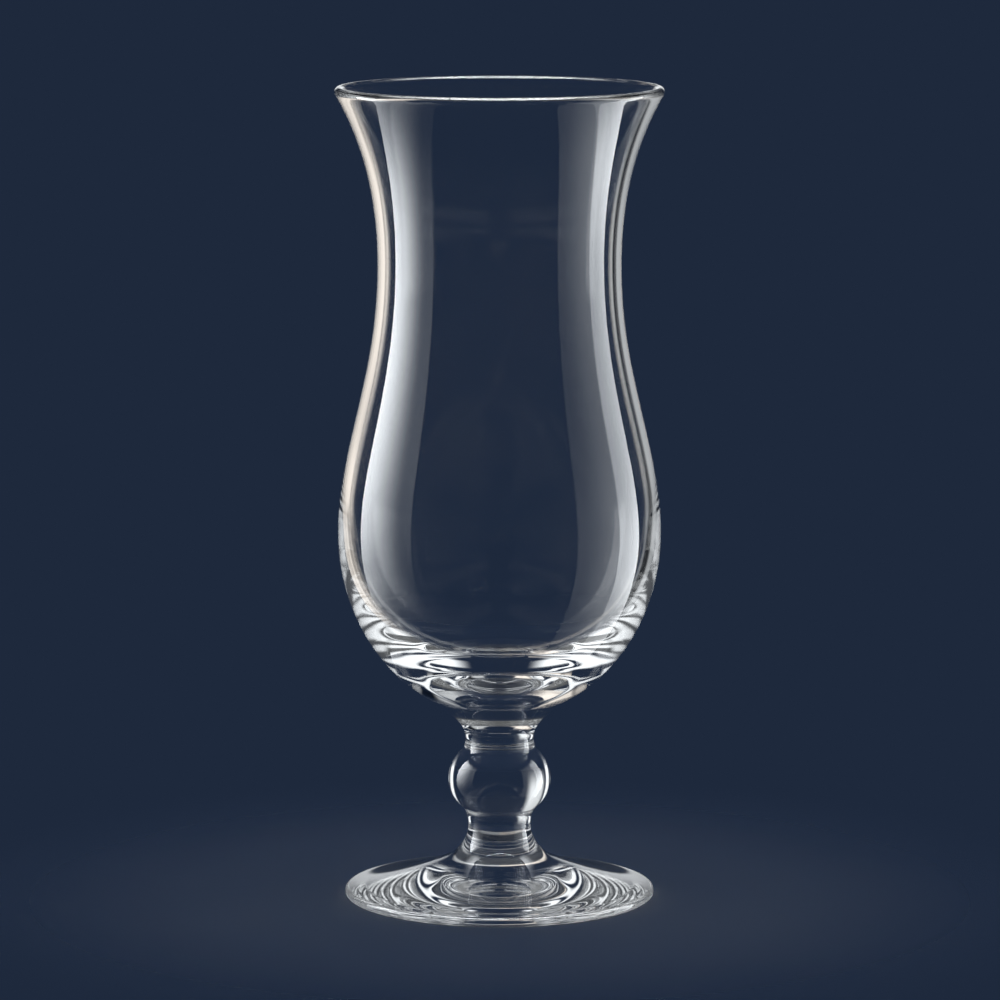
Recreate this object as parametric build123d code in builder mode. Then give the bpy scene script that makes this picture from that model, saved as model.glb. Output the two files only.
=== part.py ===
"""Hurricane glass: a bowl, two collars, a ball knop and a foot, each turned about the Z axis."""

import os
from math import acos, cos, degrees, radians, sin, sqrt

from build123d import *

# All lengths are in millimetres. Z = 0 is the table, and the Z axis is the axis of the glass.

# Foot
foot_radius = 39.1
foot_edge_thickness = 2.5
foot_edge_rounding = 1.1
most_edge_rounding = 0.45  # a rounding takes at most this share of the edge's thickness
foot_ring_width = 5.6  # flat ring that the glass stands on, in from the edge
foot_kick = 1.8  # rise of the hollow underside at the middle
foot_boss_radius = 13.0  # where the lower collar sits
foot_boss_height = 9.9
foot_edge_slope = 5.0  # degrees below level, at the edge
foot_boss_slope = 30.0  # degrees below level, at the collar
foot_edge_pull = 7.7
foot_boss_pull = 3.0

# Lower collar, from the foot's boss up to the knop
lower_collar_length = 12.8
lower_neck_radius = 7.95
lower_neck_drop = 5.0  # narrowest place, below the knop's crease
lower_neck_pull = 3.1
lower_flare_pull = 3.2
lower_seat_depth = 1.2  # depth of the dish that the collar sits in

# Ball knop
knop_radius = 12.96
knop_half_height = 10.585
knop_lower_crease_radius = 9.2
knop_upper_crease_radius = 9.45

# Upper collar, from the knop up to the bowl
upper_collar_length = 12.7
upper_neck_radius = 8.62
upper_neck_rise = 3.2  # narrowest place, above the knop's crease
upper_neck_pull = 3.4
upper_flare_slope = 43.0  # degrees above level, under the bowl
upper_flare_pull = 5.2
upper_seat_depth = 1.5  # depth of the cup that the bowl sits in

# Bowl, outside
bowl_seat_radius = 16.0
belly_radius = 40.6
waist_radius = 30.5
rim_radius = 41.1
belly_rise = 43.1  # from the seat's edge up to the widest place
waist_rise = 67.5  # from the belly up to the narrowest place
rim_rise = 44.3  # from the waist up to the lip's top
underside_slope = 21.0  # degrees above level, at the seat's edge
underside_pull = 9.0
belly_pull = 20.3
waist_pull = 28.2
flare_angle = 29.5  # degrees from upright, at the rim
flare_share = 0.64  # length of the flare's pull, as a share of the lip's slope down to the waist's radius

# Bowl, inside
lip_thickness = 2.5
waist_wall = 2.2
belly_wall = 2.7
bottom_thickness = 9.4  # on the axis
inner_belly_lift = 4.0  # the inside is widest this far above the outside's belly
inner_belly_drop = 22.0
inner_floor_pull = 26.0


def on_slope(point, distance, slope):
    """The point that lies a distance away along a line that rises at a slope, in degrees."""
    return (point[0] + distance * cos(radians(slope)), point[1] + distance * sin(radians(slope)))


def even_pull(pull, offset, other_offset):
    """The pull on a curve's other side that keeps its bend even through a point with an upright tangent."""
    return pull * sqrt(offset / other_offset)


# Heights, stacked up from the table
boss_edge = (foot_boss_radius, foot_boss_height)
lower_crease_angle = acos(knop_lower_crease_radius / knop_radius)
upper_crease_angle = acos(knop_upper_crease_radius / knop_radius)
lower_crease_z = foot_boss_height + lower_collar_length
knop_z = lower_crease_z + knop_half_height * sin(lower_crease_angle)
upper_crease_z = knop_z + knop_half_height * sin(upper_crease_angle)
seat_z = upper_crease_z + upper_collar_length
belly_z = seat_z + belly_rise
waist_z = belly_z + waist_rise
rim_z = waist_z + rim_rise

lower_crease = (knop_lower_crease_radius, lower_crease_z)
upper_crease = (knop_upper_crease_radius, upper_crease_z)
knop_middle = (0, knop_z)
knop_top = (0, knop_z + knop_half_height)
knop_bottom = (0, knop_z - knop_half_height)
seat_edge = (bowl_seat_radius, seat_z)
seat_bottom = (0, seat_z - upper_seat_depth)
dish_bottom = (0, foot_boss_height - lower_seat_depth)


with BuildPart() as foot:
    edge_rounding = min(foot_edge_rounding, most_edge_rounding * foot_edge_thickness)
    upper_rounding_middle = (foot_radius - edge_rounding, foot_edge_thickness - edge_rounding)
    lower_rounding_middle = (foot_radius - edge_rounding, edge_rounding)
    edge_top = on_slope(upper_rounding_middle, edge_rounding, 90 - foot_edge_slope)
    ring_inside = (foot_radius - foot_ring_width, 0)
    with BuildSketch(Plane.XZ):
        with BuildLine():
            TangentArc(dish_bottom, boss_edge, tangent=(1, 0))
            Bezier(
                boss_edge,
                on_slope(boss_edge, foot_boss_pull, -foot_boss_slope),
                on_slope(edge_top, -foot_edge_pull, -foot_edge_slope),
                edge_top,
            )
            upper_rounding = CenterArc(
                upper_rounding_middle,
                edge_rounding,
                start_angle=90 - foot_edge_slope,
                arc_size=foot_edge_slope - 90,
            )
            lower_rounding = CenterArc(lower_rounding_middle, edge_rounding, start_angle=0, arc_size=-90)
            Line(upper_rounding @ 1, lower_rounding @ 0)
            Line(lower_rounding @ 1, ring_inside)
            TangentArc((0, foot_kick), ring_inside, tangent=(1, 0))
            Line((0, foot_kick), dish_bottom)
        make_face()
    revolve(axis=Axis.Z)
foot.part.label = "foot"


with BuildPart() as lower_collar:
    lower_neck = (lower_neck_radius, lower_crease_z - lower_neck_drop)
    with BuildSketch(Plane.XZ):
        with BuildLine():
            TangentArc(dish_bottom, boss_edge, tangent=(1, 0))
            Bezier(
                boss_edge,
                on_slope(boss_edge, -lower_flare_pull, -foot_boss_slope),
                (lower_neck_radius, lower_neck[1] - lower_neck_pull),
                lower_neck,
            )
            Bezier(
                lower_neck,
                (lower_neck_radius, lower_neck[1] + lower_neck_drop / 3),
                (lower_neck_radius, lower_neck[1] + lower_neck_drop * 2 / 3),
                lower_crease,
            )
            EllipticalCenterArc(
                knop_middle,
                knop_radius,
                knop_half_height,
                start_angle=-90,
                arc_size=90 - degrees(lower_crease_angle),
            )
            Line(knop_bottom, dish_bottom)
        make_face()
    revolve(axis=Axis.Z)
lower_collar.part.label = "lower_collar"


with BuildPart() as ball_knop:
    with BuildSketch(Plane.XZ):
        with BuildLine():
            EllipticalCenterArc(knop_middle, knop_radius, knop_half_height, start_angle=-90, arc_size=90)
            EllipticalCenterArc(knop_middle, knop_radius, knop_half_height, start_angle=90, arc_size=-90)
            Line(knop_top, knop_bottom)
        make_face()
    revolve(axis=Axis.Z)
ball_knop.part.label = "ball_knop"


with BuildPart() as upper_collar:
    upper_neck = (upper_neck_radius, upper_crease_z + upper_neck_rise)
    with BuildSketch(Plane.XZ):
        with BuildLine():
            TangentArc(seat_bottom, seat_edge, tangent=(1, 0))
            Bezier(
                seat_edge,
                on_slope(seat_edge, -upper_flare_pull, upper_flare_slope),
                (upper_neck_radius, upper_neck[1] + upper_neck_pull),
                upper_neck,
            )
            Bezier(
                upper_neck,
                (upper_neck_radius, upper_neck[1] - upper_neck_rise / 3),
                (upper_neck_radius, upper_neck[1] - upper_neck_rise * 2 / 3),
                upper_crease,
            )
            EllipticalCenterArc(
                knop_middle,
                knop_radius,
                knop_half_height,
                start_angle=90,
                arc_size=degrees(upper_crease_angle) - 90,
            )
            Line(knop_top, seat_bottom)
        make_face()
    revolve(axis=Axis.Z)
upper_collar.part.label = "upper_collar"


with BuildPart() as bowl:
    lip_rounding = lip_thickness / 2
    lip_middle = (rim_radius - lip_rounding, rim_z - lip_rounding)
    flare_slope = 90 - flare_angle
    lip_outer = on_slope(lip_middle, lip_rounding, -flare_angle)
    lip_inner = on_slope(lip_middle, -lip_rounding, -flare_angle)
    flare_pull = flare_share * (lip_outer[0] - waist_radius) / sin(radians(flare_angle))
    flare_outer = on_slope(lip_outer, -flare_pull, flare_slope)
    flare_inner = on_slope(lip_inner, -flare_pull, flare_slope)

    belly = (belly_radius, belly_z)
    waist = (waist_radius, waist_z)
    inner_belly = (belly_radius - belly_wall, belly_z + inner_belly_lift)
    inner_waist = (waist_radius - waist_wall, waist_z)
    underside = on_slope(seat_edge, underside_pull, underside_slope)
    floor = (0, seat_bottom[1] + bottom_thickness)

    swell = belly_radius - waist_radius
    upper_waist_pull = even_pull(waist_pull, flare_outer[0] - waist_radius, swell)
    lower_belly_pull = even_pull(belly_pull, belly_radius - underside[0], swell)
    with BuildSketch(Plane.XZ):
        with BuildLine():
            TangentArc(seat_bottom, seat_edge, tangent=(1, 0))
            Bezier(seat_edge, underside, (belly_radius, belly_z - lower_belly_pull), belly)
            Bezier(belly, (belly_radius, belly_z + belly_pull), (waist_radius, waist_z - waist_pull), waist)
            Bezier(waist, (waist_radius, waist_z + upper_waist_pull), flare_outer, lip_outer)
            CenterArc(lip_middle, lip_rounding, start_angle=-flare_angle, arc_size=180)
            Bezier(lip_inner, flare_inner, (inner_waist[0], waist_z + upper_waist_pull), inner_waist)
            Bezier(
                inner_waist,
                (inner_waist[0], waist_z - waist_pull),
                (inner_belly[0], belly_z + belly_pull),
                inner_belly,
            )
            Bezier(
                inner_belly,
                (inner_belly[0], inner_belly[1] - inner_belly_drop),
                (inner_floor_pull, floor[1]),
                floor,
            )
            Line(floor, seat_bottom)
        make_face()
    revolve(axis=Axis.Z)
bowl.part.label = "bowl"


os.makedirs("parts", exist_ok=True)
export_step(foot.part, "parts/foot.step")
export_step(lower_collar.part, "parts/lower_collar.step")
export_step(ball_knop.part, "parts/ball_knop.step")
export_step(upper_collar.part, "parts/upper_collar.step")
export_step(bowl.part, "parts/bowl.step")
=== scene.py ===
"""Hurricane glass: the blown bowl, its stem and its foot, in soft studio light before dark blue."""

from math import acos, atan, cos, pi, radians, sin, sqrt, tan

import bpy
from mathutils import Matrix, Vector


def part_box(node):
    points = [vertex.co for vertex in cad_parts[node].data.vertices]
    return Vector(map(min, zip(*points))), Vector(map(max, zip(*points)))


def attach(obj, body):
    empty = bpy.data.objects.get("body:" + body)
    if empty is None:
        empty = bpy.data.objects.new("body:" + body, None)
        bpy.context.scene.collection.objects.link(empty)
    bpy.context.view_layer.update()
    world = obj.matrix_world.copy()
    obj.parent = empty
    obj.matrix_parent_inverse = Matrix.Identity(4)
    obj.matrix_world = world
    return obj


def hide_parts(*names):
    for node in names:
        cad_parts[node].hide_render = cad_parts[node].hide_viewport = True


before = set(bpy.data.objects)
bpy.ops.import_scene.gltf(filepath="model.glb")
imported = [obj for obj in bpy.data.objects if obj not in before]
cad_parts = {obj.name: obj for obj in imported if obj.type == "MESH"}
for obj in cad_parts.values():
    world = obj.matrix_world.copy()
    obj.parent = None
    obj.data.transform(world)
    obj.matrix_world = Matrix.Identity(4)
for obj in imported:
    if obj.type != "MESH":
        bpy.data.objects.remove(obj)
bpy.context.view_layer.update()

# All lengths are in metres, the glass's angles in radians and the light panels' in degrees.
# The glass is turned about the Z axis, and Z = 0 is where it stands.
MM = 0.001

# How finely a profile is drawn and turned
steps_per_curve = 28
steps_around = 288
fine_steps_per_curve = 16  # for the bowl and the foot, whose long curves are halved or quartered first
bowl_steps_around = 320
foot_steps_around = 440
crease_angle = radians(24)
merge_distance = 0.002 * MM

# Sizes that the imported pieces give
lower_collar_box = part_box("lower_collar")
knop_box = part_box("ball_knop")
upper_collar_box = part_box("upper_collar")
bowl_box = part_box("bowl")
foot_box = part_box("foot")

# Foot
foot_radius = foot_box[1].x
foot_edge_thickness = 2.5 * MM
foot_edge_rounding = 1.1 * MM
foot_ring_width = 5.6 * MM
foot_kick = 1.8 * MM
foot_edge_slope = radians(5)
foot_boss_slope = radians(30)
foot_edge_pull = 7.7 * MM
foot_boss_pull = 3.0 * MM

# Lower collar
lower_neck_radius = 7.95 * MM
lower_neck_drop = 5.0 * MM
lower_neck_pull = 3.1 * MM
lower_flare_pull = 3.2 * MM

# Ball knop
knop_radius = knop_box[1].x
knop_half_height = (knop_box[1].z - knop_box[0].z) / 2
lower_crease_radius = 9.2 * MM
upper_crease_radius = 9.45 * MM

# Upper collar
upper_neck_radius = 8.62 * MM
upper_neck_rise = 3.2 * MM
upper_neck_pull = 3.4 * MM
upper_flare_slope = radians(43)
upper_flare_pull = 5.2 * MM

# Bowl
rim_radius = bowl_box[1].x
belly_radius = 40.6 * MM
waist_radius = 30.5 * MM
belly_rise = 43.1 * MM
waist_rise = 67.5 * MM
underside_slope = radians(21)
underside_pull = 9.0 * MM
belly_pull = 20.3 * MM
waist_pull = 28.2 * MM
flare_angle = radians(29.5)
flare_share = 0.64
lip_thickness = 2.5 * MM
waist_wall = 2.2 * MM
belly_wall = 2.7 * MM
bottom_thickness = 9.4 * MM
inner_belly_lift = 4.0 * MM
inner_belly_drop = 22.0 * MM
inner_floor_pull = 26.0 * MM

# Places where the pieces meet, as (radius, height)
boss_edge = (lower_collar_box[1].x, foot_box[1].z)
dish_bottom = (0, lower_collar_box[0].z)
knop_middle = (0, (knop_box[1].z + knop_box[0].z) / 2)
lower_crease_turn = -acos(lower_crease_radius / knop_radius)
upper_crease_turn = acos(upper_crease_radius / knop_radius)
lower_crease = (lower_crease_radius, knop_middle[1] + knop_half_height * sin(lower_crease_turn))
upper_crease = (upper_crease_radius, knop_middle[1] + knop_half_height * sin(upper_crease_turn))
seat_edge = (upper_collar_box[1].x, upper_collar_box[1].z)
seat_bottom = (0, bowl_box[0].z)


# Profiles: each stretch is a start, two handles and an end

def on_slope(point, distance, slope):
    """The point that lies a distance away along a line that rises at a slope."""
    return (point[0] + distance * cos(slope), point[1] + distance * sin(slope))


def even_pull(pull, offset, other_offset):
    """The pull beyond a point with an upright tangent that keeps the curve's bend even there."""
    return pull * sqrt(offset / other_offset)


def straight(start, end):
    """A straight stretch, with its handles at its thirds."""
    thirds = [tuple(a + (b - a) * share / 3 for a, b in zip(start, end)) for share in (1, 2)]
    return (start, *thirds, end)


def arc_pull(turn):
    """The length of the handles that make a stretch an arc through this turn, at a radius of one."""
    return 4 / 3 * tan(turn / 4)


def oval(middle, width, height, start_turn, end_turn):
    """A stretch of an oval with these half width and half height, from one turn to another."""
    pull = arc_pull(end_turn - start_turn)

    def at(turn, along):
        sideways = width * (cos(turn) - along * sin(turn))
        up = height * (sin(turn) + along * cos(turn))
        return (middle[0] + sideways, middle[1] + up)

    return (at(start_turn, 0), at(start_turn, pull), at(end_turn, -pull), at(end_turn, 0))


def dished(start, end):
    """A shallow arc that leaves the axis level and turns evenly up or down to its end."""
    span, rise = end[0] - start[0], end[1] - start[1]
    turn = 2 * atan(rise / span)
    pull = arc_pull(turn) * span / sin(turn)
    return (start, on_slope(start, pull, 0), on_slope(end, -pull, turn), end)


def halved(stretch):
    """The same stretch as two, which meet half way, so that it is drawn with twice the steps."""
    rows = [stretch]
    while len(rows[-1]) > 1:
        row = rows[-1]
        rows.append([((a[0] + b[0]) / 2, (a[1] + b[1]) / 2) for a, b in zip(row, row[1:])])
    return [tuple(row[0] for row in rows), tuple(row[-1] for row in reversed(rows))]


def quartered(stretch):
    """The same stretch as four, drawn with four times the steps."""
    return [quarter for half in halved(stretch) for quarter in halved(half)]


def foot_profile():
    upper_rounding_middle = (foot_radius - foot_edge_rounding, foot_edge_thickness - foot_edge_rounding)
    lower_rounding_middle = (foot_radius - foot_edge_rounding, foot_edge_rounding)
    upper_rounding = oval(
        upper_rounding_middle, foot_edge_rounding, foot_edge_rounding, pi / 2 - foot_edge_slope, 0
    )
    lower_rounding = oval(lower_rounding_middle, foot_edge_rounding, foot_edge_rounding, 0, -pi / 2)
    edge_top = upper_rounding[0]
    ring_inside = (foot_radius - foot_ring_width, 0)
    underside = dished((0, foot_kick), ring_inside)
    upper_side = (
        boss_edge,
        on_slope(boss_edge, foot_boss_pull, -foot_boss_slope),
        on_slope(edge_top, -foot_edge_pull, -foot_edge_slope),
        edge_top,
    )
    return [
        dished(dish_bottom, boss_edge),
        *quartered(upper_side),
        upper_rounding,
        straight(upper_rounding[3], lower_rounding[0]),
        lower_rounding,
        straight(lower_rounding[3], ring_inside),
        *quartered(underside[::-1]),
    ]


def lower_collar_profile():
    neck = (lower_neck_radius, lower_crease[1] - lower_neck_drop)
    return [
        dished(dish_bottom, boss_edge),
        (
            boss_edge,
            on_slope(boss_edge, -lower_flare_pull, -foot_boss_slope),
            (lower_neck_radius, neck[1] - lower_neck_pull),
            neck,
        ),
        (
            neck,
            (lower_neck_radius, neck[1] + lower_neck_drop / 3),
            (lower_neck_radius, neck[1] + lower_neck_drop * 2 / 3),
            lower_crease,
        ),
        oval(knop_middle, knop_radius, knop_half_height, lower_crease_turn, -pi / 2),
    ]


def ball_knop_profile():
    turns = [-pi / 2, lower_crease_turn, 0, upper_crease_turn, pi / 2]
    return [
        oval(knop_middle, knop_radius, knop_half_height, start, end)
        for start, end in zip(turns, turns[1:])
    ]


def upper_collar_profile():
    neck = (upper_neck_radius, upper_crease[1] + upper_neck_rise)
    return [
        oval(knop_middle, knop_radius, knop_half_height, pi / 2, upper_crease_turn),
        (
            upper_crease,
            (upper_neck_radius, neck[1] - upper_neck_rise * 2 / 3),
            (upper_neck_radius, neck[1] - upper_neck_rise / 3),
            neck,
        ),
        (
            neck,
            (upper_neck_radius, neck[1] + upper_neck_pull),
            on_slope(seat_edge, -upper_flare_pull, upper_flare_slope),
            seat_edge,
        ),
        dished(seat_bottom, seat_edge)[::-1],
    ]


def bowl_profile():
    lip_rounding = lip_thickness / 2
    lip_middle = (rim_radius - lip_rounding, bowl_box[1].z - lip_rounding)
    lip_top_turn = pi / 2 - flare_angle
    outer_lip = oval(lip_middle, lip_rounding, lip_rounding, -flare_angle, lip_top_turn)
    inner_lip = oval(lip_middle, lip_rounding, lip_rounding, lip_top_turn, pi - flare_angle)
    lip_outer, lip_inner = outer_lip[0], inner_lip[3]
    flare_pull = flare_share * (lip_outer[0] - waist_radius) / sin(flare_angle)
    flare_outer = on_slope(lip_outer, -flare_pull, lip_top_turn)
    flare_inner = on_slope(lip_inner, -flare_pull, lip_top_turn)

    belly = (belly_radius, seat_edge[1] + belly_rise)
    waist = (waist_radius, belly[1] + waist_rise)
    inner_belly = (belly_radius - belly_wall, belly[1] + inner_belly_lift)
    inner_waist = (waist_radius - waist_wall, waist[1])
    underside = on_slope(seat_edge, underside_pull, underside_slope)
    well = (0, seat_bottom[1] + bottom_thickness)

    swell = belly_radius - waist_radius
    upper_waist_pull = even_pull(waist_pull, flare_outer[0] - waist_radius, swell)
    lower_belly_pull = even_pull(belly_pull, belly_radius - underside[0], swell)
    outer_bottom = (seat_edge, underside, (belly_radius, belly[1] - lower_belly_pull), belly)
    outer_wall = (
        belly,
        (belly_radius, belly[1] + belly_pull),
        (waist_radius, waist[1] - waist_pull),
        waist,
    )
    outer_flare = (waist, (waist_radius, waist[1] + upper_waist_pull), flare_outer, lip_outer)
    inner_flare = (lip_inner, flare_inner, (inner_waist[0], waist[1] + upper_waist_pull), inner_waist)
    inner_wall = (
        inner_waist,
        (inner_waist[0], waist[1] - waist_pull),
        (inner_belly[0], belly[1] + belly_pull),
        inner_belly,
    )
    inner_bottom = (
        inner_belly,
        (inner_belly[0], inner_belly[1] - inner_belly_drop),
        (inner_floor_pull, well[1]),
        well,
    )
    return [
        dished(seat_bottom, seat_edge),
        *quartered(outer_bottom),
        *halved(outer_wall),
        *halved(outer_flare),
        outer_lip,
        inner_lip,
        *halved(inner_flare),
        *halved(inner_wall),
        *quartered(inner_bottom),
    ]


# Turning

def deselect_all():
    if bpy.context.object and bpy.context.object.mode != "OBJECT":
        bpy.ops.object.mode_set(mode="OBJECT")
    bpy.ops.object.select_all(action="DESELECT")


def draw_profile(name, stretches, curve_steps):
    """Draws a profile in the XZ plane as one open curve, and leaves it active."""
    deselect_all()
    bpy.ops.curve.primitive_bezier_curve_add()
    profile = bpy.context.object
    profile.name = name
    profile.data.resolution_u = curve_steps
    spline = profile.data.splines[0]
    spline.bezier_points.add(len(stretches) + 1 - len(spline.bezier_points))
    knots = spline.bezier_points
    for knot in knots:
        knot.handle_left_type = knot.handle_right_type = "FREE"
    for knot, next_knot, stretch in zip(knots, knots[1:], stretches):
        start, out_handle, in_handle, end = [(radius, 0, height) for radius, height in stretch]
        knot.co = start
        knot.handle_right = out_handle
        next_knot.handle_left = in_handle
        next_knot.co = end
    knots[0].handle_left = knots[0].co
    knots[-1].handle_right = knots[-1].co


def turned(name, stretches, steps=steps_around, angle=2 * pi, curve_steps=steps_per_curve):
    """Turns a profile about the Z axis into a smooth piece, closed where the turn is a whole one."""
    draw_profile(name, stretches, curve_steps)
    bpy.ops.object.convert(target="MESH")
    piece = bpy.context.object
    turn = piece.modifiers.new("turn", "SCREW")
    turn.steps = turn.render_steps = steps
    turn.angle = angle
    turn.use_merge_vertices = True
    turn.merge_threshold = merge_distance
    bpy.ops.object.modifier_apply(modifier=turn.name)
    bpy.ops.object.mode_set(mode="EDIT")
    bpy.ops.mesh.select_all(action="SELECT")
    bpy.ops.mesh.remove_doubles(threshold=merge_distance)
    bpy.ops.mesh.normals_make_consistent(inside=False)
    bpy.ops.object.mode_set(mode="OBJECT")
    bpy.ops.object.shade_smooth_by_angle(angle=crease_angle)
    return piece


# Materials

# Glass, and how far it is from perfect. Scales are in patches to the metre.
glass_index = 1.5
clearest = (1.0, 1.0, 1.0, 1)
least_clear = (0.985, 0.992, 0.99, 1)
tint_scale = 25.0
tint_detail = 2.0
bump_height = 0.02 * MM  # how high a wave or ring of height one stands
wave_scale = 70.0
wave_detail = 1.0
ring_unevenness = 0.25  # share of a spacing that a ring may be out of its place
ring_drift_scale = 160.0
ring_drift_detail = 1.0
ring_hold = 0.6  # share of their reach over which rings keep their full height
dullest_roughness = 0.05
streak_scale = 120.0
streak_detail = 3.0
streak_squeeze = 0.15  # share of the scale that counts along the height, so that streaks run upright
streak_start = 0.45  # level of the noise at which a streak begins
streak_full = 0.75  # and at which it is at its dullest

# Sockets of a mix of two colours, which share their names with other sockets
mix_first_colour = 6
mix_second_colour = 7
mix_colour_out = 2


def feed(tree, socket, value):
    """Links a socket to another one, or sets it to a plain value."""
    if isinstance(value, bpy.types.NodeSocket):
        tree.links.new(value, socket)
    else:
        socket.default_value = value


def add_node(tree, kind, **values):
    """Adds a node, and feeds the inputs that are named, with _ for a space."""
    node = tree.nodes.new(kind)
    for name, value in values.items():
        feed(tree, node.inputs[name.replace("_", " ")], value)
    return node


def math_node(tree, operation, *values):
    node = tree.nodes.new("ShaderNodeMath")
    node.operation = operation
    for socket, value in zip(node.inputs, values):
        feed(tree, socket, value)
    return node.outputs[0]


def soft_run(tree, value, start, end, first=0.0, last=1.0):
    """Runs softly from the first level to the last while a value runs from its start to its end."""
    run = add_node(
        tree, "ShaderNodeMapRange", Value=value, From_Min=start, From_Max=end, To_Min=first, To_Max=last
    )
    run.interpolation_type = "SMOOTHSTEP"
    return run.outputs["Result"]


def length_of(tree, vector):
    length = add_node(tree, "ShaderNodeVectorMath", Vector=vector)
    length.operation = "LENGTH"
    return length.outputs["Value"]


def blended(tree, share, first, second):
    """Two shaders mixed, all of the first at a share of nought and all of the second at one."""
    mix = add_node(tree, "ShaderNodeMixShader", Fac=share)
    tree.links.new(first.outputs[0], mix.inputs[1])
    tree.links.new(second.outputs[0], mix.inputs[2])
    return mix


def new_material(name):
    material = bpy.data.materials.new(name)
    material.use_nodes = True
    material.node_tree.nodes.clear()
    return material, material.node_tree


def new_group(name, given, put_out):
    """A node group with these inputs and this one output, all of them plain values."""
    group = bpy.data.node_groups.new(name, "ShaderNodeTree")
    for socket in given:
        group.interface.new_socket(socket, in_out="INPUT", socket_type="NodeSocketFloat")
    group.interface.new_socket(put_out, in_out="OUTPUT", socket_type="NodeSocketFloat")
    return group, group.nodes.new("NodeGroupInput").outputs


def ripple_group():
    """Faint rings round the axis, as a mould or a turned tool leaves in thick glass."""
    group, given = new_group("turned_ripple", ("Spacing", "Unevenness", "Reach"), "Height")
    place = add_node(group, "ShaderNodeTexCoord").outputs["Object"]
    level = add_node(group, "ShaderNodeVectorMath", Vector=place)
    level.operation = "MULTIPLY"
    level.inputs[1].default_value = (1, 1, 0)  # leaves the height out
    radius = length_of(group, level.outputs["Vector"])
    along = add_node(group, "ShaderNodeCombineXYZ", X=radius)
    drift = add_node(
        group,
        "ShaderNodeTexNoise",
        Vector=along.outputs[0],
        Scale=ring_drift_scale,
        Detail=ring_drift_detail,
    )
    turns = math_node(group, "DIVIDE", radius, given["Spacing"])
    shift = math_node(group, "MULTIPLY", drift.outputs["Fac"], given["Unevenness"])
    phase = math_node(group, "MULTIPLY", math_node(group, "ADD", turns, shift), 2 * pi)
    wave = math_node(group, "SINE", phase)
    hold = math_node(group, "MULTIPLY", given["Reach"], ring_hold)
    fade = soft_run(group, radius, hold, given["Reach"], 1.0, 0.0)
    add_node(group, "NodeGroupOutput", Height=math_node(group, "MULTIPLY", wave, fade))
    return group


def wipe_group():
    """Where a cloth has left the polish a trace duller, in soft upright streaks."""
    group, given = new_group("wipe_marks", ("Dullest",), "Roughness")
    place = add_node(group, "ShaderNodeTexCoord").outputs["Object"]
    upright = add_node(group, "ShaderNodeMapping", Vector=place, Scale=(1, 1, streak_squeeze))
    streaks = add_node(
        group, "ShaderNodeTexNoise", Vector=upright.outputs[0], Scale=streak_scale, Detail=streak_detail
    )
    mask = soft_run(group, streaks.outputs["Fac"], streak_start, streak_full)
    add_node(group, "NodeGroupOutput", Roughness=math_node(group, "MULTIPLY", mask, given["Dullest"]))
    return group


turned_ripple = ripple_group()
wipe_marks = wipe_group()


def clear_glass(name, ring_spacing, ring_height, ring_reach, waviness):
    """Polished colourless glass, a little wavy, with faint rings that die away at their reach."""
    material, tree = new_material(name)
    wiped = add_node(tree, "ShaderNodeGroup")
    wiped.node_tree = wipe_marks
    wiped.inputs["Dullest"].default_value = dullest_roughness
    place = add_node(tree, "ShaderNodeTexCoord").outputs["Object"]
    rings = add_node(tree, "ShaderNodeGroup")
    rings.node_tree = turned_ripple
    rings.inputs["Spacing"].default_value = ring_spacing
    rings.inputs["Unevenness"].default_value = ring_unevenness
    rings.inputs["Reach"].default_value = ring_reach
    ringed = math_node(tree, "MULTIPLY", rings.outputs["Height"], ring_height / bump_height)
    noise = add_node(tree, "ShaderNodeTexNoise", Vector=place, Scale=wave_scale, Detail=wave_detail)
    waved = math_node(tree, "MULTIPLY", noise.outputs["Fac"], waviness)
    surface = math_node(tree, "ADD", ringed, waved)
    bump = add_node(tree, "ShaderNodeBump", Strength=1.0, Distance=bump_height, Height=surface)
    tint = add_node(tree, "ShaderNodeTexNoise", Vector=place, Scale=tint_scale, Detail=tint_detail)
    colour = add_node(tree, "ShaderNodeMix", Factor=tint.outputs["Fac"])
    colour.data_type = "RGBA"
    colour.inputs[mix_first_colour].default_value = least_clear
    colour.inputs[mix_second_colour].default_value = clearest
    shader = add_node(
        tree,
        "ShaderNodeBsdfPrincipled",
        Base_Color=colour.outputs[mix_colour_out],
        Roughness=wiped.outputs["Roughness"],
        IOR=glass_index,
        Transmission_Weight=1.0,
        Normal=bump.outputs["Normal"],
    )
    add_node(tree, "ShaderNodeOutputMaterial", Surface=shader.outputs[0])
    return material


def seam():
    """No surface at all, for the faces where two pieces are fused."""
    material, tree = new_material("fused_seam")
    shader = add_node(tree, "ShaderNodeBsdfTransparent")
    add_node(tree, "ShaderNodeOutputMaterial", Surface=shader.outputs[0])
    return material


fused_seam = seam()
bowl_glass = clear_glass(
    "bowl_glass", ring_spacing=5.0 * MM, ring_height=0.010 * MM, ring_reach=25 * MM, waviness=0.2
)
stem_glass = clear_glass(
    "stem_glass", ring_spacing=4.0 * MM, ring_height=0.0, ring_reach=1 * MM, waviness=0.2
)
foot_glass = clear_glass(
    "foot_glass", ring_spacing=4.4 * MM, ring_height=0.0006 * MM, ring_reach=30 * MM, waviness=0.01
)


# Pieces

shallow = 0.3  # a fused face turns less than this from the axis, and every outer face turns more


def lay_in_glass(piece, glass, at_seam):
    """Gives a piece its glass, and no surface to its fused faces, where at_seam(height, outward) holds."""
    materials = piece.data.materials
    materials.append(glass)
    materials.append(fused_seam)
    seam_slot = materials.find(fused_seam.name)
    for face in piece.data.polygons:
        away = face.center.xy.normalized()
        outward = face.normal.xy.dot(away)
        if at_seam(face.center.z, outward):
            face.material_index = seam_slot


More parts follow.
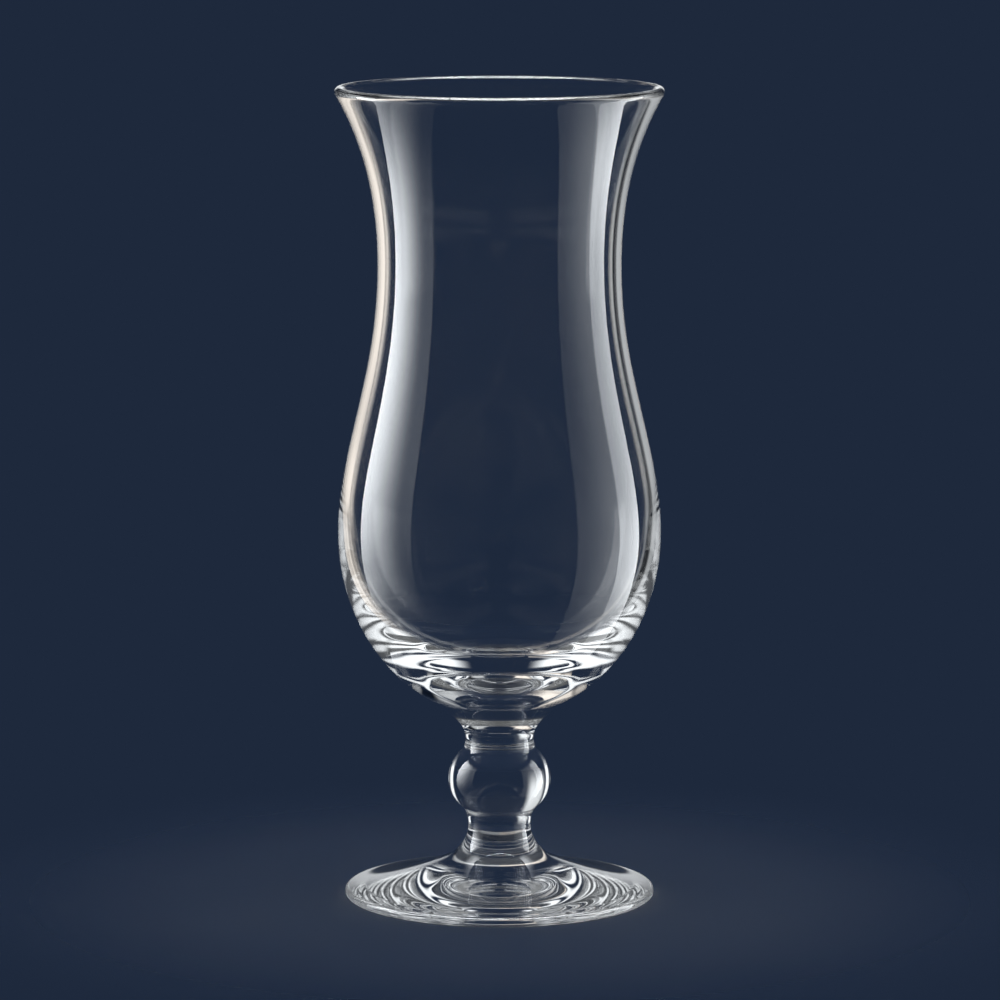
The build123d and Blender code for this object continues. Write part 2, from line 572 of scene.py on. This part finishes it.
bowl = turned("glass_bowl", bowl_profile(), bowl_steps_around, curve_steps=fine_steps_per_curve)
lay_in_glass(bowl, bowl_glass, lambda height, outward: outward < shallow and height < seat_edge[1])
upper_collar = turned("stem_upper_collar", upper_collar_profile())
lay_in_glass(upper_collar, stem_glass, lambda height, outward: outward < shallow)
ball_knop = turned("stem_ball_knop", ball_knop_profile())
lay_in_glass(
    ball_knop, stem_glass, lambda height, outward: not lower_crease[1] < height < upper_crease[1]
)
lower_collar = turned("stem_lower_collar", lower_collar_profile())
lay_in_glass(lower_collar, stem_glass, lambda height, outward: outward < shallow)
foot = turned("glass_foot", foot_profile(), foot_steps_around, curve_steps=fine_steps_per_curve)
lay_in_glass(foot, foot_glass, lambda height, outward: outward < shallow and height > dish_bottom[1])

for piece, node in (
    (bowl, "bowl"),
    (upper_collar, "upper_collar"),
    (ball_knop, "ball_knop"),
    (lower_collar, "lower_collar"),
    (foot, "foot"),
):
    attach(piece, "root")
    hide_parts(node)


# Backdrop and floor

navy = (0.0130, 0.0222, 0.0452, 1)
sky_blue = (0.30, 0.50, 1.0, 1)
white = (0.94, 0.975, 1.0, 1)
warm = (1.0, 0.92, 0.83, 1)
floor_light = 0.07
trapped_light = 0.12
trapped_after = 6.5  # reflections, past which light counts as trapped in the glass

world = bpy.data.worlds.new("studio")
bpy.context.scene.world = world
world.use_nodes = True
tree = world.node_tree
tree.nodes.clear()
path = add_node(tree, "ShaderNodeLightPath").outputs
seen = math_node(tree, "MAXIMUM", path["Is Camera Ray"], path["Is Glossy Ray"])
seen = math_node(tree, "MAXIMUM", seen, path["Is Transmission Ray"])
soft_light = add_node(tree, "ShaderNodeBackground", Color=sky_blue, Strength=floor_light)
backdrop = add_node(tree, "ShaderNodeBackground", Color=navy, Strength=1.0)
trapped_glow = add_node(tree, "ShaderNodeBackground", Color=white, Strength=trapped_light)
trapped = math_node(tree, "GREATER_THAN", path["Glossy Depth"], trapped_after)
all_rays = blended(tree, trapped, blended(tree, seen, soft_light, backdrop), trapped_glow)
add_node(tree, "ShaderNodeOutputWorld", Surface=all_rays.outputs[0])

floor_radius = 0.16
floor_full_radius = 0.045  # past this the floor runs out into the backdrop
floor_gap = 0.05 * MM
floor_sides = 128
pale = (0.8, 0.81, 0.83, 1)

deselect_all()
bpy.ops.mesh.primitive_circle_add(
    vertices=floor_sides, radius=floor_radius, fill_type="NGON", location=(0, 0, -floor_gap)
)
floor = bpy.context.object
floor.name = "floor"
bpy.ops.object.transform_apply(location=True)
material, tree = new_material("pale_floor")
place = add_node(tree, "ShaderNodeTexCoord").outputs["Object"]
fade = soft_run(tree, length_of(tree, place), floor_full_radius, floor_radius)
diffuse = add_node(tree, "ShaderNodeBsdfDiffuse", Color=pale)
clear = add_node(tree, "ShaderNodeBsdfTransparent")
add_node(tree, "ShaderNodeOutputMaterial", Surface=blended(tree, fade, diffuse, clear).outputs[0])
floor.data.materials.append(material)
floor.visible_glossy = False


# Light panels, with their angles in degrees

panel_distance = 2.0
softbox_distance = 0.35
panel_steps = 24
drawn_bearing = -90  # bearing of the X axis, on which a panel's edge is drawn
thread_change = (-10, -4)  # rises between which a panel's low threads give way to its high ones

# How often a ray may have gone through a glass surface, and how often off one, when it sees a panel
any_count = 99
ray_kinds = {
    "outer faces": ((0, 0), (0, any_count)),
    "inner faces": ((1, 2), (1, any_count)),
    "far faces": ((3, any_count), (1, any_count)),
    "solid stem": ((1, 2), (0, 0)),
    "both walls": ((3, any_count), (0, 0)),
    "deep bounces": ((1, any_count), (2, any_count)),
}


def between(tree, value, limits):
    low, high = limits
    return math_node(tree, "COMPARE", value, (low + high) / 2, (high - low + 1) / 2)


def seen_by(tree, kinds):
    """One for the rays that see a panel, and nought for the rest."""
    path = add_node(tree, "ShaderNodeLightPath").outputs
    shown = 0.0
    for through, off in [ray_kinds[kind] for kind in kinds]:
        goes_through = between(tree, path["Transmission Depth"], through)
        comes_off = between(tree, path["Glossy Depth"], off)
        shown = math_node(tree, "MAXIMUM", shown, math_node(tree, "MULTIPLY", goes_through, comes_off))
    return shown


def along_stops(tree, value, stops):
    """A level that follows stops, each an angle and its level, with the angles in rising order."""
    first, last = stops[0][0], stops[-1][0]
    share = add_node(
        tree, "ShaderNodeMapRange", Value=value, From_Min=radians(first), From_Max=radians(last)
    )
    ramp = add_node(tree, "ShaderNodeValToRGB", Fac=share.outputs["Result"])
    elements = ramp.color_ramp.elements
    while len(elements) < len(stops):
        elements.new(1.0)
    for element, (angle, level) in zip(elements, stops):
        element.position = (angle - first) / (last - first)
        element.color = (level, level, level, 1)
    return ramp.outputs["Color"]


def by_bearing(first, last, share=0):
    """A fade from a share of the light at the first bearing to all of it at the last."""
    return ("bearing", first, last, share)


def by_rise(first, last, share=0):
    """A fade from a share of the light at the first rise to all of it at the last."""
    return ("rise", first, last, share)


def panel(name, bearings, rises, colour, strength, seen, fades=(), threads=(), distance=panel_distance):
    """A curved light panel around the glass, between two bearings and two angles of rise.

    A bearing is taken from the camera's side, plus to the left. Threads are stops of the
    light along the bearing, one set for the panel's low part and one for the part above.
    """
    start, end = bearings
    low, high = rises
    bends = [radians(rise) for rise in (low, (low + high) / 2, high)]
    edge = [oval((0, 0), distance, distance, *pair) for pair in zip(bends, bends[1:])]
    shape = turned(name, edge, panel_steps, radians(start - end))
    shape.rotation_euler.z = radians(drawn_bearing - start)
    bpy.ops.object.transform_apply(rotation=True)
    material, tree = new_material(name)
    place = add_node(tree, "ShaderNodeTexCoord").outputs["Object"]
    parts = add_node(tree, "ShaderNodeSeparateXYZ", Vector=place).outputs
    left = math_node(tree, "MULTIPLY", parts["X"], -1.0)
    near = math_node(tree, "MULTIPLY", parts["Y"], -1.0)
    angles = {
        "bearing": math_node(tree, "ARCTAN2", left, near),
        "rise": math_node(tree, "ARCSINE", math_node(tree, "DIVIDE", parts["Z"], distance)),
    }
    shown = seen_by(tree, seen)
    for angle, first, last, share in fades:
        level = soft_run(tree, angles[angle], radians(first), radians(last), share)
        shown = math_node(tree, "MULTIPLY", shown, level)
    glow = add_node(tree, "ShaderNodeEmission", Color=colour, Strength=strength)
    if threads:
        low_part, high_part = [along_stops(tree, angles["bearing"], stops) for stops in threads]
        share = soft_run(tree, angles["rise"], *[radians(rise) for rise in thread_change])
        rest = math_node(tree, "MULTIPLY", low_part, math_node(tree, "SUBTRACT", 1.0, share))
        level = math_node(tree, "ADD", math_node(tree, "MULTIPLY", high_part, share), rest)
        tree.links.new(math_node(tree, "MULTIPLY", level, strength), glow.inputs["Strength"])
    clear = add_node(tree, "ShaderNodeBsdfTransparent")
    add_node(tree, "ShaderNodeOutputMaterial", Surface=blended(tree, shown, clear, glow).outputs[0])
    shape.data.materials.append(material)
    shape.visible_camera = False
    shape.visible_diffuse = False


def soft_panel(name, bearings, rises, colour, strength, seen, sides, ends):
    """A panel whose light dies away over these angles towards its sides and its ends."""
    start, end = bearings
    low, high = rises
    fades = [
        by_bearing(start, start + sides),
        by_bearing(end, end - sides),
        by_rise(low, low + ends),
        by_rise(high, high - ends),
    ]
    panel(name, bearings, rises, colour, strength, seen, fades)


def on_side(side, first, last):
    """Two bearings on one side, the left for 1 and the right for -1, in rising order."""
    return sorted((side * first, side * last))


# Softboxes beside the glass, for the pale bands
softbox_rises = (-45, 52)
softbox_top = by_rise(44, 36)
panel(
    "left_softbox", bearings=(62, 111), rises=softbox_rises, colour=white, strength=13.5,
    seen=["outer faces"], distance=softbox_distance,
    fades=[by_bearing(69, 106, 0.1), by_rise(-22, 36, 0.03), softbox_top],
)
panel(
    "right_softbox", bearings=(-112, -90), rises=softbox_rises, colour=white, strength=9.4,
    seen=["outer faces"], distance=softbox_distance,
    fades=[by_bearing(-90, -112, 0.85), by_rise(-24, 6, 0.4), by_rise(28, 8, 0.67), softbox_top],
)
panel(
    "right_fill", bearings=(-90, -54), rises=softbox_rises, colour=white, strength=2.5,
    seen=["outer faces"], distance=softbox_distance,
    fades=[by_bearing(-54, -90, 0.3), by_rise(-30, 0, 0.6), by_rise(36, 18, 0.65), softbox_top],
)
inner_softbox_rises = (-62, 3)
inner_softbox_top = by_rise(3, 0)
panel(
    "left_inner_softbox", bearings=(65, 108), rises=inner_softbox_rises, colour=white, strength=1.6,
    seen=["inner faces"], fades=[by_bearing(72, 105, 0.1), by_bearing(108, 104), inner_softbox_top],
)
panel(
    "right_inner_softbox", bearings=(-108, -93.5), rises=inner_softbox_rises, colour=white, strength=1.3,
    seen=["inner faces"], fades=[by_bearing(-108, -104), inner_softbox_top],
)

# Strips behind the glass, for the lit edges of its walls, with threads of light and dark
strip_rises = (-50, 9)
strip_ends = [by_rise(-50, -45, 0.2), by_rise(9, 0)]
left_low_threads = (
    (135, 0.1), (137, 0.3), (141.5, 0.35), (143, 0.6), (145, 0.45), (148, 0.5), (150, 1.1),
    (153.5, 1.1), (155, 0.8), (157, 1.2), (164, 1.2),
)
left_high_threads = (
    (135, 0.4), (137, 0.75), (140, 0.75), (141.5, 0.45), (143, 0.45), (145, 1.2), (157, 1.2),
    (158.5, 0.85), (160, 1.15), (164, 1.15),
)
right_threads = (
    (-164, 0.6), (-155, 0.6), (-152, 0.45), (-150, 0.12), (-148, 0), (-140.5, 0), (-138.5, 0.4),
    (-135, 0.3),
)
panel(
    "left_rear_strip", bearings=(135, 164), rises=strip_rises, colour=warm, strength=1.0,
    seen=["inner faces"], fades=strip_ends, threads=(left_low_threads, left_high_threads),
)
panel(
    "right_rear_strip", bearings=(-164, -135), rises=strip_rises, colour=white, strength=1.0,
    seen=["inner faces"], fades=strip_ends, threads=(right_threads, right_threads),
)
high_strip_rises = (-14, 12)
high_strip_ends = [by_rise(-14, -9, 0.2), by_rise(12, 6)]
panel(
    "left_high_rear_strip", bearings=(139, 164), rises=high_strip_rises, colour=warm, strength=1.1,
    seen=["both walls"], fades=[by_bearing(164, 155, 0.05), *high_strip_ends],
)
panel(
    "right_high_rear_strip", bearings=(-164, -148), rises=high_strip_rises, colour=white, strength=0.5,
    seen=["both walls"], fades=[by_bearing(-164, -157, 0.05), *high_strip_ends],
)
outline_rises = (-12, 4)
outline_ends = [by_rise(-12, -7), by_rise(4, 0)]
panel(
    "left_outline", bearings=(164, 180), rises=outline_rises, colour=warm, strength=0.95,
    seen=["inner faces", "far faces"], fades=outline_ends,
)
panel(
    "right_outline", bearings=(-180, -164), rises=outline_rises, colour=white, strength=0.7,
    seen=["inner faces", "far faces"], fades=outline_ends,
)

# A black flag, which keeps a part of the right wall dark
panel(
    "right_flag", bearings=(-148, -138), rises=(-18, 4), colour=white, strength=0.0, seen=["both walls"]
)

# Lights that stand alike on both sides, for the crescents in thick glass and the edges of stem and rim
for side, name in ((1, "left"), (-1, "right")):
    for number, rises in enumerate(((7, 15), (18, 33))):
        soft_panel(
            f"{name}_hoop_{number}", on_side(side, 84, 164), rises, colour=white, strength=1.4,
            seen=["deep bounces", "both walls"], sides=14, ends=3,
        )
    for number, rises in enumerate(((2, 15), (18, 33))):
        soft_panel(
            f"{name}_front_hoop_{number}", on_side(side, 8, 94), rises, colour=white, strength=1.2,
            seen=["deep bounces"], sides=10, ends=4,
        )
    soft_panel(
        f"{name}_low_edge", on_side(side, 104, 135), rises=(-54, -22), colour=white, strength=0.6,
        seen=["inner faces"], sides=5, ends=6,
    )
    soft_panel(
        f"{name}_edge_light", on_side(side, 106, 126), rises=(-50, 40), colour=white, strength=1.8,
        seen=["solid stem"], sides=6, ends=20,
    )
    panel(
        f"{name}_high_light", on_side(side, 85, 180), rises=(44, 64), colour=white, strength=8.0,
        seen=["outer faces"], fades=[by_bearing(side * 85, side * 115), by_rise(44, 62)],
    )
    panel(
        f"{name}_back_sheen", on_side(side, 164, 180), rises=(3, 16), colour=white, strength=1.2,
        seen=["outer faces"], fades=[by_bearing(side * 164, side * 174), by_rise(3, 6), by_rise(16, 9)],
    )

# A glow through the knop, and the light overhead
panel(
    "knop_glow", bearings=(126, 158), rises=(-14, 36), colour=white, strength=0.9, seen=["solid stem"],
    fades=[by_bearing(126, 134), by_bearing(158, 150), by_rise(-14, 8), by_rise(36, 33)],
)
panel(
    "overhead_softbox", bearings=(-180, 180), rises=(64, 88), colour=white, strength=14.0,
    seen=["outer faces"],
)


# Camera, at the photo's place and with its lens

camera_place = (0, -1.36059, 0.29979)
camera_tilt = radians(81.6917)
lens_length = 196.96
sensor_width = 36.0
sideways_shift = 0.0005
most_bounces = 96  # light runs far inside thick glass before it leaves
most_clear_passes = 32

camera_data = bpy.data.cameras.new("camera")
camera = bpy.data.objects.new("camera", camera_data)
scene = bpy.context.scene
scene.collection.objects.link(camera)
camera.location = camera_place
camera.rotation_euler = (camera_tilt, 0, 0)
camera_data.lens = lens_length
camera_data.sensor_width = sensor_width
camera_data.shift_x = sideways_shift
scene.camera = camera

scene.view_settings.view_transform = "Standard"
scene.cycles.max_bounces = most_bounces
scene.cycles.transmission_bounces = most_bounces
scene.cycles.glossy_bounces = most_bounces
scene.cycles.transparent_max_bounces = most_clear_passes
